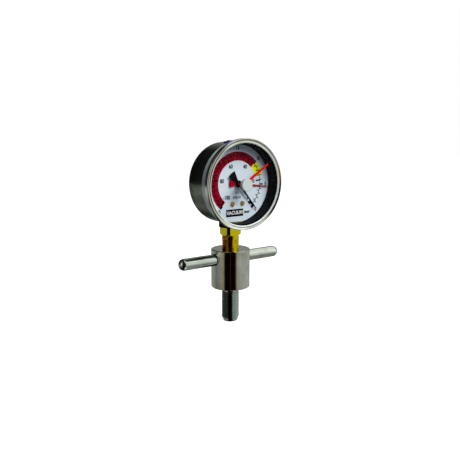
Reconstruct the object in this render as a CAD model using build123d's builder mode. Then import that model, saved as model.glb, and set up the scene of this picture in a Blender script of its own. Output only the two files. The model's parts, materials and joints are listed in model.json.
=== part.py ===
from build123d import *
import math
import os

# A dial vacuum gauge on a stainless T-handle with a threaded stud.
#
# Frame: millimetres, +Z up, origin at the centre of the hub's underside, on the stud's axis.
# The stud points to -Z, the handle rods lie along X and the dial looks towards -Y.
# Inside the gauge a place is given as (across, up, forward): across is X, up is measured
# from the pointer's axis, and forward is the distance from the stem's axis towards -Y.

os.makedirs("parts", exist_ok=True)

# ---------------------------------------------------------------- driving dimensions
inch = 25.4

# T-handle
hub_diameter = 1.25 * inch
hub_height = 1.25 * inch
hub_edge_chamfer = 0.5
stud_diameter = 9 / 16 * inch
stud_pitch = inch / 18
stud_length = 29.2
stud_shank_length = 3.4
stud_relief_diameter = 12.3
stud_relief_length = 1.0
stud_pilot_diameter = 12.3
stud_pilot_length = 2.7
stud_pilot_chamfer = 0.8
passage_diameter = 4.0
rod_diameter = 3 / 8 * inch
rod_spigot_diameter = 8.0
rod_spigot_length = 7.3
rod_end_round = 4.4
rod_height = 23.9
handle_span = 96.7
seal_groove_mean_radius = 10.6
seal_groove_width = 2.3
seal_groove_depth = 1.6
seal_ring_width = 1.98

# tapered pipe thread (1/4 inch, 18 threads per inch)
pipe_pitch = inch / 18
pipe_small_end_diameter = 13.26
pipe_taper = 1 / 16
pipe_engagement = 8.0
pipe_thread_length = 17.6
pipe_play = 0.06

# gauge stem
stem_square = 14.0
stem_corner_diameter = 17.1
stem_square_bottom = 42.3
stem_chamfer_height = 1.7
stem_neck_diameter = 13.0
stem_collar_diameter = 16.0
stem_collar_bottom = 49.8
base_seal_radius = 9.4
inlet_radius = 2.0
port_radius = 1.0
restrictor_radius = 2.5

# gauge case
gauge_centre = 85.2
case_radius = 32.4
case_wall = 0.8
case_back = -13.0
case_back_round = 3.6
step_radius = 33.2
step_start = 9.0
flange_radius = 34.4
flange_front = 18.7
window_radius = 34.4
window_rear = 19.25
window_thickness = 1.2
bezel_radius = 35.5
bezel_opening = 31.8
bezel_rear = 17.0
bezel_side_front = 20.6
bezel_crest_radius = 34.9
bezel_front = 21.5
bezel_throat_radius = 33.5
bezel_throat = 20.95
bezel_wall = 0.95
bezel_lip_edge = 0.2
gasket_rear = 10.3
gasket_inner_radius = 30.9
gasket_mouth_radius = 31.15
gasket_mouth = 17.8
gasket_front_radius = 32.3
plug_flange_radius = 5.5
plug_flange_rise = 0.5
plug_radius = 2.9
plug_rise = 1.3
plug_root = 2.2
plug_hole_radius = 4.0
stem_hole_radius = 8.6
spindle_radius = 1.5

# dial and hands
dial_radius = 30.7
dial_front = 9.6
dial_thickness = 0.5
dial_flat = 30.05
dial_screw_across = 4.8
dial_screw_up = -15.7
zero_angle = -50.0
pointer_tip = 26.2
max_hand_angle = -6.8
max_hand_tip = 29.4
set_hand_angle = 33.0
set_hand_tip = 27.9
set_hand_hub_radius = 3.6
knob_diameter = 9.8
knob_front = 23.2

# fasteners
case_screw_across = 4.2
case_screw_up = -24.5
case_screw_radius = 1.5
case_screw_head_radius = 2.9
case_screw_head_height = 1.7
plate_stud_radius = 1.0
small_screw_radius = 0.88
small_screw_end = 5.0
plate_screw_head_radius = 1.6
plate_screw_head_height = 0.9
dial_screw_head_radius = 1.9
dial_screw_head_height = 1.0

# movement
scale_sweep = 280.0
gear_ratio = 10
pinion_teeth = 10
centre_distance = 13.2
sector_bearing = -30.0
tube_radius = 22.0
tube_width = 7.0
tube_thickness = 3.0
tube_wall = 0.4
tube_forward = -5.0
tube_tip_angle = -10.0
tube_end_angle = 256.0
tip_pin_angle = -13.0
tip_swing = 4.6

# clearances
press_gap = 0.01
running_gap = 0.04
contact_gap = 0.05

# ---------------------------------------------------------------- derived sizes
hub_radius = hub_diameter / 2
stud_radius = stud_diameter / 2
rod_radius = rod_diameter / 2
rod_shoulder = hub_radius + 0.1
pipe_start = hub_height - pipe_engagement
pipe_end = pipe_start + pipe_thread_length
pipe_small_radius = pipe_small_end_diameter / 2
pipe_half_taper = math.degrees(math.atan(pipe_taper / 2))
case_inner_radius = case_radius - case_wall
step_inner_radius = step_radius - case_wall
pilot_top = -stud_length + stud_pilot_length
relief_bottom = -stud_shank_length - stud_relief_length
case_inner_back = case_back + case_wall
dial_back = dial_front - dial_thickness
window_front = window_rear + window_thickness
module = 2 * centre_distance / (pinion_teeth * (gear_ratio + 1))
pinion_radius = module * pinion_teeth / 2
sector_radius = pinion_radius * gear_ratio
sector_turn = scale_sweep / gear_ratio

# front view of the gauge: local X across, local Y up, local Z forward
gauge_front = Plane(origin=(0, 0, gauge_centre), x_dir=(1, 0, 0), z_dir=(0, -1, 0))
# half section of the gauge: local X is the radius, local Y is forward
gauge_section = Plane(origin=(0, 0, gauge_centre), x_dir=(1, 0, 0), z_dir=(0, 0, -1))
gauge_axis = Axis((0, 0, gauge_centre), (0, -1, 0))


# ---------------------------------------------------------------- helpers
def pipe_radius(height):
    """Crest radius of the tapered thread at a height above the hub's underside."""
    return pipe_small_radius + (height - pipe_start) * pipe_taper / 2


def outline(*points):
    """A closed straight-sided face in the sketch that is open."""
    Polygon(*points, align=None)


def front(forward):
    """The gauge's front-view plane at a distance forward of the stem's axis."""
    return gauge_front.offset(forward)


def polar(radius, angle):
    """A point of the front view, from the pointer's axis."""
    return (radius * math.cos(math.radians(angle)), radius * math.sin(math.radians(angle)))


def disc(radius, rear, forward, centre=(0, 0), hole=0, mode=Mode.ADD):
    """A disc of the gauge between two depths, with an optional hole."""
    with BuildSketch(front(rear), mode=Mode.PRIVATE) as face:
        with Locations(centre):
            Circle(radius)
            if hole:
                Circle(hole, mode=Mode.SUBTRACT)
    extrude(face.sketch, amount=forward - rear, mode=mode)


def ring_section(*points):
    """A ring turned about the gauge's axis, from its half section (radius, forward)."""
    with BuildSketch(gauge_section, mode=Mode.PRIVATE) as face:
        outline(*points)
    revolve(face.sketch, axis=gauge_axis)


def v_groove(path, pitch):
    """Cuts a 60-degree V thread groove along a helix that runs on the crests."""
    uncut_volume = BuildPart._get_context().part.volume
    depth = 0.6134 * pitch
    crest_flat = pitch / 8
    overcut = 0.3
    flank = math.tan(math.radians(30))
    root_half = (pitch - crest_flat) / 2 - depth * flank
    mouth = (pitch - crest_flat) / 2 + overcut * flank
    start = Plane(origin=path @ 0, x_dir=(1, 0, 0), z_dir=path % 0)
    with BuildSketch(start, mode=Mode.PRIVATE) as groove:
        outline((-depth, -root_half), (overcut, -mouth), (overcut, mouth), (-depth, root_half))
    sweep(groove.sketch, path=path, is_frenet=True, mode=Mode.SUBTRACT)
    if BuildPart._get_context().part.volume > uncut_volume - 50:
        raise ValueError("the thread groove was not cut")


def finish(builder, name):
    """Labels a finished piece and writes its file."""
    builder.part.label = name
    export_step(builder.part, f"parts/{name}.step")


# ================================================================ T-handle
# Hub and stud, turned in one piece, with the central passage, the tapered socket for the
# gauge's stem, two blind holes for the rods and a groove for the seal ring.
pilot_radius = stud_pilot_diameter / 2
relief_radius = stud_relief_diameter / 2
socket_floor = pipe_start - 1.2
hole_floor = rod_shoulder - rod_spigot_length - 0.3

with BuildPart() as handle_hub:
    with BuildSketch(Plane.XZ):
        outline(
            (0, -stud_length),
            (pilot_radius - stud_pilot_chamfer, -stud_length),
            (pilot_radius, -stud_length + stud_pilot_chamfer),
            (pilot_radius, pilot_top - 0.2),
            (stud_radius, pilot_top + 0.3),
            (stud_radius, relief_bottom),
            (relief_radius, relief_bottom + 0.3),
            (relief_radius, -stud_shank_length - 0.1),
            (stud_radius - 0.1, -stud_shank_length - 0.1),
            (stud_radius, -stud_shank_length),
            (stud_radius, 0),
            (hub_radius - hub_edge_chamfer, 0),
            (hub_radius, hub_edge_chamfer),
            (hub_radius, hub_height - hub_edge_chamfer),
            (hub_radius - hub_edge_chamfer, hub_height),
            (0, hub_height),
        )
    revolve(axis=Axis.Z)
    # tapered socket, its drill point and the passage to the end of the stud
    with BuildSketch(Plane.XZ):
        outline(
            (0, hub_height + 1),
            (pipe_radius(hub_height + 1) + pipe_play, hub_height + 1),
            (pipe_radius(socket_floor) + pipe_play, socket_floor),
            (passage_diameter / 2, socket_floor - 2.4),
            (0, socket_floor - 2.4),
        )
    revolve(axis=Axis.Z, mode=Mode.SUBTRACT)
    with BuildSketch(Plane.XY.offset(-stud_length)):
        Circle(passage_diameter / 2)
    extrude(amount=stud_length + hub_height / 2, mode=Mode.SUBTRACT)
    # blind holes for the rods
    for side in (-1, 1):
        with BuildSketch(Plane.YZ.offset(side * hole_floor)):
            with Locations((0, rod_height)):
                Circle(rod_spigot_diameter / 2)
        extrude(amount=side * hub_radius, mode=Mode.SUBTRACT)
    # seal groove in the seat face
    with BuildSketch(Plane.XY):
        Circle(seal_groove_mean_radius + seal_groove_width / 2)
        Circle(seal_groove_mean_radius - seal_groove_width / 2, mode=Mode.SUBTRACT)
    extrude(amount=seal_groove_depth, mode=Mode.SUBTRACT)
    # thread, from the pilot to the relief groove under the shank
    thread_bottom = pilot_top - stud_pitch / 2
    thread_top = relief_bottom + 0.75 * stud_relief_length
    with BuildLine(mode=Mode.PRIVATE) as stud_helix:
        Helix(
            pitch=stud_pitch,
            height=thread_top - thread_bottom,
            radius=stud_radius,
            center=(0, 0, thread_bottom),
        )
    v_groove(stud_helix.line, stud_pitch)
finish(handle_hub, "handle_hub")


def handle_rod(side):
    """One rod: a round-ended bar with a reduced spigot pressed into the hub."""
    with BuildPart() as rod:
        with BuildSketch(Plane.YZ.offset(rod_shoulder)):
            with Locations((0, rod_height)):
                Circle(rod_radius)
        extrude(amount=handle_span / 2 - rod_shoulder)
        tip = rod.faces().sort_by(Axis.X)[-1]
        fillet(tip.edges(), rod_end_round)
        base = rod.faces().sort_by(Axis.X)[0]
        chamfer(base.edges(), 0.25)
        with BuildSketch(Plane.YZ.offset(rod_shoulder - rod_spigot_length)):
            with Locations((0, rod_height)):
                Circle(rod_spigot_diameter / 2 - press_gap)
        extrude(amount=rod_spigot_length + 0.5)
        if side == "left":
            mirror(about=Plane.YZ, mode=Mode.REPLACE)
    return rod


finish(handle_rod("left"), "left_handle_rod")
finish(handle_rod("right"), "right_handle_rod")

# Seal ring, flattened to the groove's depth as it is when the hub is screwed down.
with BuildPart() as seat_seal:
    with BuildSketch(Plane.XZ):
        with Locations((seal_groove_mean_radius, seal_groove_depth / 2)):
            RectangleRounded(seal_ring_width, seal_groove_depth - 0.04, 0.6)
    revolve(axis=Axis.Z)
finish(seat_seal, "seat_seal")

# ================================================================ gauge stem
# One brass piece: tapered thread, wrench square, collar through the case, and the block
# inside it that carries the movement and the curved tube.
block_half_width = 7.0
block_top = -11.5
block_front = 2.0
lip_radius = 12.0
lip_top = -30.2
tube_port_up = tube_radius * math.sin(math.radians(tube_end_angle)) * 0.985

# wrench square with its corners turned off and chamfered below
with BuildPart() as wrench_square:
    with BuildSketch(Plane.XY.offset(stem_square_bottom)):
        Rectangle(stem_square, stem_square)
    extrude(amount=stem_collar_bottom - stem_square_bottom)
    with BuildSketch(Plane.XZ):
        outline(
            (0, stem_square_bottom),
            (stem_neck_diameter / 2, stem_square_bottom),
            (stem_corner_diameter / 2, stem_square_bottom + stem_chamfer_height),
            (stem_corner_diameter / 2, stem_collar_bottom),
            (0, stem_collar_bottom),
        )
    revolve(axis=Axis.Z, mode=Mode.INTERSECT)

with BuildPart() as gauge_stem:
    # threaded end and neck
    with BuildSketch(Plane.XZ):
        outline(
            (0, pipe_start),
            (pipe_small_radius - 0.7, pipe_start),
            (pipe_radius(pipe_start + 0.7), pipe_start + 0.7),
            (pipe_radius(pipe_end), pipe_end),
            (stem_neck_diameter / 2, pipe_end + 0.4),
            (stem_neck_diameter / 2, stem_square_bottom),
            (0, stem_square_bottom),
        )
    revolve(axis=Axis.Z)
    add(wrench_square.part)
    # collar through the case wall
    with BuildSketch(Plane.XY.offset(stem_collar_bottom)):
        Circle(stem_collar_diameter / 2)
    extrude(amount=gauge_centre - case_inner_radius + 1.4 - stem_collar_bottom)
    # thread
    with BuildLine(mode=Mode.PRIVATE) as pipe_helix:
        Helix(
            pitch=pipe_pitch,
            height=pipe_thread_length - pipe_pitch,
            radius=pipe_radius(pipe_start + pipe_pitch / 2),
            center=(0, 0, pipe_start + pipe_pitch / 2),
            cone_angle=pipe_half_taper,
        )
    v_groove(pipe_helix.line, pipe_pitch)

# the block inside the case, kept clear of the case's rounded back
with BuildPart() as stem_block:
    with BuildSketch(front(case_inner_back + contact_gap)):
        with Locations((0, block_top)):
            Rectangle(2 * block_half_width, 25, align=(Align.CENTER, Align.MAX))
    extrude(amount=block_front - case_inner_back - contact_gap)
    with BuildSketch(Plane.XY.offset(gauge_centre - step_inner_radius)):
        Circle(lip_radius)
    extrude(amount=step_inner_radius + lip_top)
    clear_radius = case_inner_radius - contact_gap
    clear_round = case_back_round - case_wall + contact_gap
    with BuildSketch(gauge_section):
        outline(
            (0, case_inner_back + contact_gap),
            (clear_radius - clear_round, case_inner_back + contact_gap),
            (clear_radius, case_inner_back + clear_round),
            (clear_radius, step_start + 0.9),
            (step_inner_radius - contact_gap, step_start + 1.0),
            (step_inner_radius - contact_gap, lip_radius + 1),
            (0, lip_radius + 1),
        )
    revolve(axis=gauge_axis, mode=Mode.INTERSECT)

with BuildPart() as socket:
    add(gauge_stem.part)
    add(stem_block.part)
    # pressure passage up the stem, then back and out to the tube's root
    with BuildSketch(Plane.XY.offset(pipe_start)):
        Circle(inlet_radius)
    extrude(amount=gauge_centre + tube_port_up - pipe_start, mode=Mode.SUBTRACT)
    disc(port_radius, tube_forward - 0.9, 0, centre=(0, tube_port_up), mode=Mode.SUBTRACT)
    with BuildSketch(Plane.YZ):
        with Locations((-tube_forward, gauge_centre + tube_port_up)):
            Circle(port_radius - 0.1)
    extrude(amount=-block_half_width, mode=Mode.SUBTRACT)
    # seat for the restrictor screw
    with BuildSketch(Plane.XY.offset(pipe_start)):
        Circle(restrictor_radius)
    extrude(amount=6, mode=Mode.SUBTRACT)
    # tapped holes: case screws from behind, pillar studs from in front
    for across in (-case_screw_across, case_screw_across):
        centre = (across, case_screw_up)
        hole_end = case_inner_back + 6
        disc(case_screw_radius, case_inner_back, hole_end, centre, mode=Mode.SUBTRACT)
    for across in (-dial_screw_across, dial_screw_across):
        centre = (across, dial_screw_up)
        disc(plate_stud_radius, block_front - 3.2, block_front, centre, mode=Mode.SUBTRACT)
finish(socket, "socket")

# Restrictor screw in the stem's mouth, with its fine hole and a screwdriver slot.
with BuildPart() as restrictor_screw:
    with BuildSketch(Plane.XY.offset(pipe_start + 0.5)):
        Circle(restrictor_radius - press_gap)
        Circle(0.4, mode=Mode.SUBTRACT)
    extrude(amount=5)
    with BuildSketch(Plane.XY.offset(pipe_start + 0.5)):
        Rectangle(6, 0.8)
    extrude(amount=0.9, mode=Mode.SUBTRACT)
finish(restrictor_screw, "restrictor_screw")

# ================================================================ gauge case
with BuildPart() as case:
    with BuildSketch(gauge_section):
        with BuildLine():
            inner_round = case_back_round - case_wall
            Polyline(
                (0, case_back),
                (case_radius - case_back_round, case_back),
            )
            RadiusArc(
                (case_radius - case_back_round, case_back),
                (case_radius, case_back + case_back_round),
                -case_back_round,
            )
            Polyline(
                (case_radius, case_back + case_back_round),
                (case_radius, step_start),
                (step_radius, step_start + 1.0),
                (step_radius, flange_front - case_wall),
                (flange_radius, flange_front - case_wall),
                (flange_radius, flange_front),
                (step_inner_radius, flange_front),
                (step_inner_radius, step_start + 1.0),
                (case_inner_radius, step_start),
                (case_inner_radius, case_inner_back + inner_round),
            )
            RadiusArc(
                (case_inner_radius, case_inner_back + inner_round),
                (case_inner_radius - inner_round, case_inner_back),
                inner_round,
            )
            Polyline(
                (case_inner_radius - inner_round, case_inner_back),
                (0, case_inner_back),
                (0, case_back),
            )
        make_face()
    revolve(axis=gauge_axis)
    # hole for the stem, hole for the fill plug and two screw holes in the back
    with BuildSketch(Plane.XY.offset(gauge_centre - step_radius - 1)):
        Circle(stem_hole_radius)
    extrude(amount=8, mode=Mode.SUBTRACT)
    with BuildSketch(Plane.XY.offset(gauge_centre + case_radius - 4)):
        Circle(plug_hole_radius)
    extrude(amount=8, mode=Mode.SUBTRACT)
    for across in (-case_screw_across, case_screw_across):
        centre = (across, case_screw_up)
        hole_radius = case_screw_radius + 0.2
        disc(hole_radius, case_back - 1, case_inner_back + 1, centre, mode=Mode.SUBTRACT)
finish(case, "case")

# Crimped bezel ring: hooked behind the case's flange and rolled over the window.
bezel_inner_radius = bezel_radius - bezel_wall
bezel_hook_radius = step_radius + 0.15
bezel_hook_front = bezel_rear + 0.85
bezel_corner = 1.1
bezel_lip_rear = window_front + 0.03
bezel_lip_front = bezel_lip_rear + bezel_lip_edge
with BuildPart() as bezel_ring:
    with BuildSketch(gauge_section):
        with BuildLine():
            Polyline(
                (bezel_hook_radius, bezel_hook_front),
                (bezel_hook_radius, bezel_rear + 0.35),
                (bezel_hook_radius + 0.35, bezel_rear),
                (bezel_radius - bezel_corner, bezel_rear),
            )
            RadiusArc(
                (bezel_radius - bezel_corner, bezel_rear),
                (bezel_radius, bezel_rear + bezel_corner),
                -bezel_corner,
            )
            Line((bezel_radius, bezel_rear + bezel_corner), (bezel_radius, bezel_side_front))
            RadiusArc((bezel_radius, bezel_side_front), (bezel_crest_radius, bezel_front), -0.85)
            # the front slopes inward, then rolls over the window's edge
            Line((bezel_crest_radius, bezel_front), (bezel_throat_radius, bezel_throat))
            RadiusArc((bezel_throat_radius, bezel_throat), (bezel_opening, bezel_lip_front), -1.0)
            Polyline(
                (bezel_opening, bezel_lip_front),
                (bezel_opening, bezel_lip_rear),
                (bezel_inner_radius, bezel_lip_rear),
                (bezel_inner_radius, bezel_hook_front),
                (bezel_hook_radius, bezel_hook_front),
            )
        make_face()
    revolve(axis=gauge_axis)
finish(bezel_ring, "bezel_ring")

# Clear window with the hole for the set-hand spindle.
with BuildPart() as window:
    disc(window_radius, window_rear, window_front, hole=spindle_radius + running_gap)
finish(window, "window")

# Black window gasket: a flat ring on the flange with a flared sleeve that lines the case's mouth.
with BuildPart() as window_gasket:
    ring_section(
        (gasket_front_radius, window_rear - 0.02),
        (gasket_mouth_radius, gasket_mouth),
        (gasket_inner_radius, gasket_rear),
        (step_inner_radius - 0.03, gasket_rear),
        (step_inner_radius - 0.03, flange_front + 0.02),
        (flange_radius, flange_front + 0.02),
        (flange_radius, window_rear - 0.02),
    )
    # notch over the stem's lip
    with BuildSketch(Plane.XY.offset(gauge_centre - step_inner_radius - 1)):
        Circle(lip_radius + 0.15)
    extrude(amount=6, mode=Mode.SUBTRACT)
finish(window_gasket, "window_gasket")

# Rubber fill plug in the top of the case: a low flange with a nub in its middle.
with BuildPart() as fill_plug:
    plug_bottom = gauge_centre + case_radius - plug_root
    with BuildSketch(Plane.XY.offset(plug_bottom)):
        Circle(plug_flange_radius)
    extrude(amount=plug_root + plug_flange_rise)
    with BuildSketch(Plane.XY.offset(plug_bottom)):
        Circle(plug_radius)
    extrude(amount=plug_root + plug_rise)
    top = fill_plug.faces().sort_by(Axis.Z)[-1]
    fillet(top.edges(), 0.35)
    with BuildSketch(front(-plug_flange_radius - 1)):
        Circle(case_radius + 0.02)
    extrude(amount=2 * plug_flange_radius + 2, mode=Mode.SUBTRACT)
    with BuildSketch(Plane.XY.offset(plug_bottom - 1.2)):
        Circle(plug_hole_radius - 0.02)
    extrude(amount=4)
finish(fill_plug, "fill_plug")

# Rubber seal around the stem where it enters the case.
with BuildPart() as base_seal:
    with BuildSketch(Plane.XY.offset(stem_collar_bottom + 0.02)):
        Circle(base_seal_radius)
    extrude(amount=5)
    disc(case_radius + 0.03, -12, 12, mode=Mode.SUBTRACT)
    with BuildSketch(Plane.XY.offset(stem_collar_bottom + 0.02)):
        Circle(stem_hole_radius - 0.03)
    extrude(amount=gauge_centre - case_inner_radius - 0.1 - stem_collar_bottom)
    disc(step_radius + 0.03, step_start - 0.03, 12, mode=Mode.SUBTRACT)
    with BuildSketch(Plane.XY.offset(stem_collar_bottom - 1)):
        Circle(stem_collar_diameter / 2 + 0.02)
    extrude(amount=8, mode=Mode.SUBTRACT)
finish(base_seal, "base_seal")


def screw(head_radius, head_rear, head_front, shank_radius, shank_end, centre, slot):
    """A slotted screw; the head lies between two depths and the shank runs to shank_end."""
    outward = 1 if shank_end < head_rear else -1
    outer_face = head_front if outward == 1 else head_rear
    inner_face = head_rear if outward == 1 else head_front
    with BuildPart() as body:
        disc(head_radius, head_rear, head_front, centre)
        ends = body.faces().sort_by(Axis.Y)
        rim = ends[0] if outward == 1 else ends[-1]
        chamfer(rim.edges(), 0.2)
        disc(shank_radius, min(inner_face, shank_end), max(inner_face, shank_end), centre)
        with BuildSketch(front(outer_face)):
            with Locations(centre):
                Rectangle(2 * head_radius + 1, slot)
        extrude(amount=-outward * (head_front - head_rear) / 2, mode=Mode.SUBTRACT)
    return body


for side, across in (("left", -case_screw_across), ("right", case_screw_across)):
    case_screw = screw(
        head_radius=case_screw_head_radius,
        head_rear=case_back - case_screw_head_height,
        head_front=case_back,
        shank_radius=case_screw_radius - press_gap,
        shank_end=case_inner_back + 5.5,
        centre=(across, case_screw_up),
        slot=0.8,
    )
    finish(case_screw, f"case_screw_{side}")

# ================================================================ dial
bush_radius = 1.6
with BuildPart() as dial:
    disc(dial_radius, dial_back, dial_front, hole=bush_radius)
    with BuildSketch(front(dial_back)):
        with Locations((0, -dial_flat)):
            Rectangle(40, 5, align=(Align.CENTER, Align.MAX))
    extrude(amount=dial_thickness, mode=Mode.SUBTRACT)
    for across in (-dial_screw_across, dial_screw_across):
        disc(1.1, dial_back, dial_front, (across, dial_screw_up), mode=Mode.SUBTRACT)
finish(dial, "dial")

# ================================================================ movement
back_plate_rear = block_front
back_plate_front = 3.0
front_plate_rear = 7.0
front_plate_front = 7.9
pillar_radius = 1.8
upper_pillars = ((-6.0, 3.8), (12.0, 3.8))
lower_pillars = ((-dial_screw_across, dial_screw_up), (dial_screw_across, dial_screw_up))
sector_pivot = polar(centre_distance, sector_bearing)
pivot_radius = 0.6
pinion_front_radius = 0.9


def movement_plate(rear, forward, pinion_hole, screw_hole):
    """A flat plate with the bearing holes of the pinion and the sector."""
    with BuildPart() as plate:
        with BuildSketch(front(rear)):
            with Locations((2.9, -6.6)):
                RectangleRounded(22.8, 25.0, 2.0)
            Circle(pinion_hole, mode=Mode.SUBTRACT)
            with Locations(sector_pivot):
                Circle(pivot_radius + running_gap, mode=Mode.SUBTRACT)
            with Locations(*lower_pillars, *upper_pillars):
                Circle(screw_hole, mode=Mode.SUBTRACT)
        extrude(amount=forward - rear)
    return plate


back_plate = movement_plate(back_plate_rear, back_plate_front, pivot_radius + running_gap, 1.05)
finish(back_plate, "movement_back_plate")
front_plate = movement_plate(
    front_plate_rear, front_plate_front, pinion_front_radius + running_gap, 1.1
)
finish(front_plate, "movement_front_plate")

# Pillars between the plates: the lower two have studs into the stem's block, the upper two
# are riveted to the back plate.
for name, centre, stud_end in (
    ("pillar_lower_left", lower_pillars[0], block_front - 3.0),
    ("pillar_lower_right", lower_pillars[1], block_front - 3.0),
    ("pillar_upper_left", upper_pillars[0], back_plate_rear - 0.4),
    ("pillar_upper_right", upper_pillars[1], back_plate_rear - 0.4),
):
    with BuildPart() as pillar:
        disc(pillar_radius, back_plate_front, front_plate_rear, centre)
        disc(plate_stud_radius - press_gap, stud_end, back_plate_front, centre)
        hole_radius = small_screw_radius + 0.02
        disc(hole_radius, front_plate_rear - 2.6, front_plate_rear, centre, mode=Mode.SUBTRACT)
    finish(pillar, name)

for side, centre in (("left", upper_pillars[0]), ("right", upper_pillars[1])):
    plate_screw = screw(
        head_radius=plate_screw_head_radius,
        head_rear=front_plate_front,
        head_front=front_plate_front + plate_screw_head_height,
        shank_radius=small_screw_radius,
        shank_end=small_screw_end,
        centre=centre,
        slot=0.4,
    )
    finish(plate_screw, f"plate_screw_{side}")

for side, centre in (("left", lower_pillars[0]), ("right", lower_pillars[1])):
    dial_screw = screw(
        head_radius=dial_screw_head_radius,
        head_rear=dial_front,
        head_front=dial_front + dial_screw_head_height,
        shank_radius=small_screw_radius,
        shank_end=small_screw_end,
        centre=centre,
        slot=0.5,
    )
    finish(dial_screw, f"dial_screw_{side}")


def gear_teeth(radius, angles, rear, forward, centre):
    """Short straight-flanked teeth on a wheel rim, one at each angle."""
    pitch_width = 0.36 * math.pi * module
    tip = radius + 0.8 * module
    root = radius - 1.3 * module
    tip_half = 0.32 * pitch_width
    root_half = 0.62 * pitch_width
    with BuildSketch(front(rear), mode=Mode.PRIVATE) as teeth:
        with Locations(*[Location((*centre, 0), (0, 0, angle)) for angle in angles]):
            outline((root, -root_half), (tip, -tip_half), (tip, tip_half), (root, root_half))
    extrude(teeth.sketch, amount=forward - rear)


# Pinion and its arbor; the front end carries the pointer.
gear_rear = 4.4
gear_front = 5.3
pinion_angles = [sector_bearing + i * 360 / pinion_teeth for i in range(pinion_teeth)]
with BuildPart() as pinion_arbor:
    disc(pivot_radius, back_plate_rear - 0.4, 3.3)
    disc(pinion_radius - 1.2 * module, 3.3, 6.0)
    gear_teeth(pinion_radius, pinion_angles, gear_rear - 0.4, gear_front + 0.4, (0, 0))
    disc(pinion_front_radius, 6.0, front_plate_front + 0.2)
    disc(0.8, front_plate_front + 0.2, 12.5)
finish(pinion_arbor, "pinion_arbor")

# Toothed sector with its tail, and its arbor.
tooth_step = 360 / (pinion_teeth * gear_ratio)
mesh_bearing = sector_bearing + 180
tooth_count = round(sector_turn / tooth_step) + 3
sector_angles = [mesh_bearing + (i - 1.5) * tooth_step for i in range(tooth_count)]
rim_start = sector_angles[0] - tooth_step / 2
rim_end = sector_angles[-1] + tooth_step / 2
rim_radius = sector_radius - 1.2 * module

# The tip of the curved tube turns about the middle of the tube's arc. The sector's tail
# pin travels the same chord, so the link between them keeps its direction.
arc_half = math.radians((tube_end_angle - tube_tip_angle) / 2)
arc_middle = (tube_end_angle + tube_tip_angle) / 2
tip_pivot = polar(tube_radius * math.sin(arc_half) / arc_half, arc_middle)
tip_pin = polar(tube_radius, tip_pin_angle)
tip_arm = (tip_pin[0] - tip_pivot[0], tip_pin[1] - tip_pivot[1])
tip_arm_length = math.hypot(*tip_arm)
tail_middle = math.degrees(math.atan2(tip_arm[1], tip_arm[0])) - tip_swing / 2
tip_chord = 2 * tip_arm_length * math.sin(math.radians(tip_swing / 2))
tail_length = tip_chord / (2 * math.sin(math.radians(sector_turn / 2)))
tail_angle = tail_middle + sector_turn / 2
tail_offset = polar(tail_length, tail_angle)
tail_pin = (sector_pivot[0] + tail_offset[0], sector_pivot[1] + tail_offset[1])
tail_pin_radius = 0.6
link_rear = 3.3
link_front = 4.1

with BuildPart() as sector_gear:
    with BuildSketch(front(gear_rear)):
        with Locations(sector_pivot):
            Circle(2.2)
        rim_points = [
            (sector_pivot[0] + p[0], sector_pivot[1] + p[1])
            for p in (
                polar(rim_radius, rim_start),
                polar(rim_radius, (rim_start + rim_end) / 2),
                polar(rim_radius, rim_end),
            )
        ]
        with BuildLine():
            Line(sector_pivot, rim_points[0])
            ThreePointArc(*rim_points)
            Line(rim_points[2], sector_pivot)
        make_face()
        # tail towards the link
        with Locations(tail_pin):
            Circle(1.3)
        middle = ((sector_pivot[0] + tail_pin[0]) / 2, (sector_pivot[1] + tail_pin[1]) / 2)
        with Locations(Location((middle[0], middle[1], 0), (0, 0, tail_angle))):
            Rectangle(tail_length, 2.0)
        # window that lightens the sector
        inner_points = [
            (sector_pivot[0] + p[0], sector_pivot[1] + p[1])
            for p in (
                polar(4.6, rim_start + 9),
                polar(9.6, rim_start + 6),
                polar(9.6, rim_end - 6),
                polar(4.6, rim_end - 9),
            )
        ]
        Polygon(*inner_points, align=None, mode=Mode.SUBTRACT)
        with Locations(sector_pivot):
            Circle(1.0, mode=Mode.SUBTRACT)
    extrude(amount=gear_front - gear_rear)
    gear_teeth(sector_radius, sector_angles, gear_rear, gear_front, sector_pivot)
    disc(tail_pin_radius, link_rear - 0.2, gear_rear, tail_pin)
finish(sector_gear, "sector_gear")

with BuildPart() as sector_arbor:
    disc(pivot_radius, back_plate_rear - 0.4, front_plate_front + 0.3, sector_pivot)
    disc(1.0 - press_gap, back_plate_front + 0.15, front_plate_rear - 0.15, sector_pivot)
finish(sector_arbor, "sector_arbor")

# Link from the tube's tip to the sector's tail. The hole at the tail is open enough for
# the small difference between the two arcs.
link_angle = math.degrees(math.atan2(tip_pin[1] - tail_pin[1], tip_pin[0] - tail_pin[0]))
link_length = math.dist(tip_pin, tail_pin)
with BuildPart() as link:
    with BuildSketch(front(link_rear)):
        with Locations(tail_pin, tip_pin):
            Circle(1.35)
        centre = ((tip_pin[0] + tail_pin[0]) / 2, (tip_pin[1] + tail_pin[1]) / 2)
        with Locations(Location((centre[0], centre[1], 0), (0, 0, link_angle))):
            Rectangle(link_length, 1.4)
        with Locations(tip_pin):
            Circle(0.7 + running_gap, mode=Mode.SUBTRACT)
        with Locations(tail_pin):
            Circle(tail_pin_radius + 0.17, mode=Mode.SUBTRACT)
    extrude(amount=link_front - link_rear)
finish(link, "link")

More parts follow.
